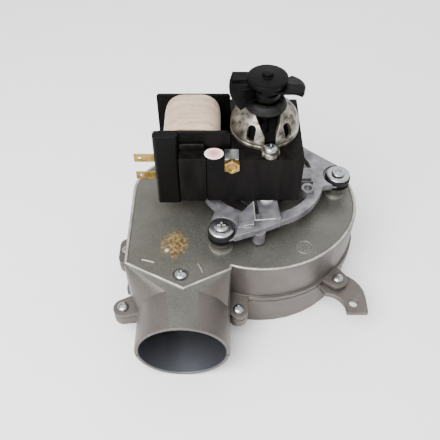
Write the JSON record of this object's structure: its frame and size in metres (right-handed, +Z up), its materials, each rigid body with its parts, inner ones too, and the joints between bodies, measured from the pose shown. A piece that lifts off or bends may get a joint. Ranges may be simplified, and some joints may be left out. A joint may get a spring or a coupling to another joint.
{
  "type": "combustion fan",
  "caption": "Gas-boiler combustion fan: two-half cast scroll with round flue outlet, centrifugal impeller, and a rubber-mounted shaded-pole motor with cooling fan above.",
  "frame": {"origin": "middle of the footprint, at the height of the scroll's base", "axes": "+Z up along the shaft, -Y out of the flue outlet, +X towards the side of the mounting foot"},
  "size_m": [0.1696, 0.1688, 0.1598],
  "materials": {
    "cast_aluminium": "die-cast aluminium, bare, slightly weathered",
    "carrier_casting": "die-cast aluminium, bare and cleaner than the scroll",
    "zinc_steel": "zinc-plated steel",
    "black_rubber": "moulded black rubber",
    "gasket_fibre": "dark fibre sheet",
    "black_laminations": "black varnished steel laminations",
    "bobbin_nylon": "moulded black glass-filled nylon",
    "coil_tape": "beige insulating tape",
    "brass": "plain brass, slightly dull",
    "sintered_bronze": "oil-filled sintered bronze",
    "label_paper": "pale pink paper label, blank",
    "fan_plastic": "moulded black plastic",
    "ground_steel": "ground steel",
    "rotor_steel": "steel laminations with an aluminium cage",
    "impeller_steel": "pressed steel sheet"
  },
  "bodies": {
    "housing": {"bracket_bolt_1": "zinc_steel", "bracket_bolt_2": "zinc_steel", "coil_bobbin": "bobbin_nylon", "coil_clip": "zinc_steel", "coil_core": "black_laminations", "coil_winding": "coil_tape", "earth_nut": "brass", "earth_tag": "zinc_steel", "housing_screw_foot": "zinc_steel", "housing_screw_front": "zinc_steel", "housing_screw_left": "zinc_steel", "housing_screw_outlet": "zinc_steel", "housing_screw_rear_left": "zinc_steel", "housing_screw_rear_right": "zinc_steel", "inspection_label": "label_paper", "lower_bearing": "sintered_bronze", "lower_scroll": "cast_aluminium", "motor_carrier": "carrier_casting", "mount_grommet_front": "black_rubber", "mount_grommet_rear": "black_rubber", "mount_grommet_right": "black_rubber", "mount_screw_front": "zinc_steel", "mount_screw_rear": "zinc_steel", "mount_screw_right": "zinc_steel", "mount_washer_front": "zinc_steel", "mount_washer_rear": "zinc_steel", "mount_washer_right": "zinc_steel", "scroll_gasket": "gasket_fibre", "shaft_seal": "gasket_fibre", "stator_core": "black_laminations", "terminal_lower": "brass", "terminal_upper": "brass", "test_point_screw": "zinc_steel", "upper_bearing": "sintered_bronze", "upper_bracket": "carrier_casting", "upper_scroll": "cast_aluminium"},
    "rotor": {"cooling_fan": "fan_plastic", "heat_slinger": "impeller_steel", "impeller_backplate": "impeller_steel", "impeller_blade_01": "impeller_steel", "impeller_blade_02": "impeller_steel", "impeller_blade_03": "impeller_steel", "impeller_blade_04": "impeller_steel", "impeller_blade_05": "impeller_steel", "impeller_blade_06": "impeller_steel", "impeller_blade_07": "impeller_steel", "impeller_blade_08": "impeller_steel", "impeller_blade_09": "impeller_steel", "impeller_blade_10": "impeller_steel", "impeller_hub": "impeller_steel", "impeller_nut": "zinc_steel", "impeller_shroud": "impeller_steel", "rotor_core": "rotor_steel", "shaft": "ground_steel"}
  },
  "joints": [
    {"name": "rotor_spin", "type": "hinge", "parent": "housing", "child": "rotor", "pos_m": [0.0142, 0.0261, 0.08], "axis": [0, 0, 1], "continuous": true}
  ]
}
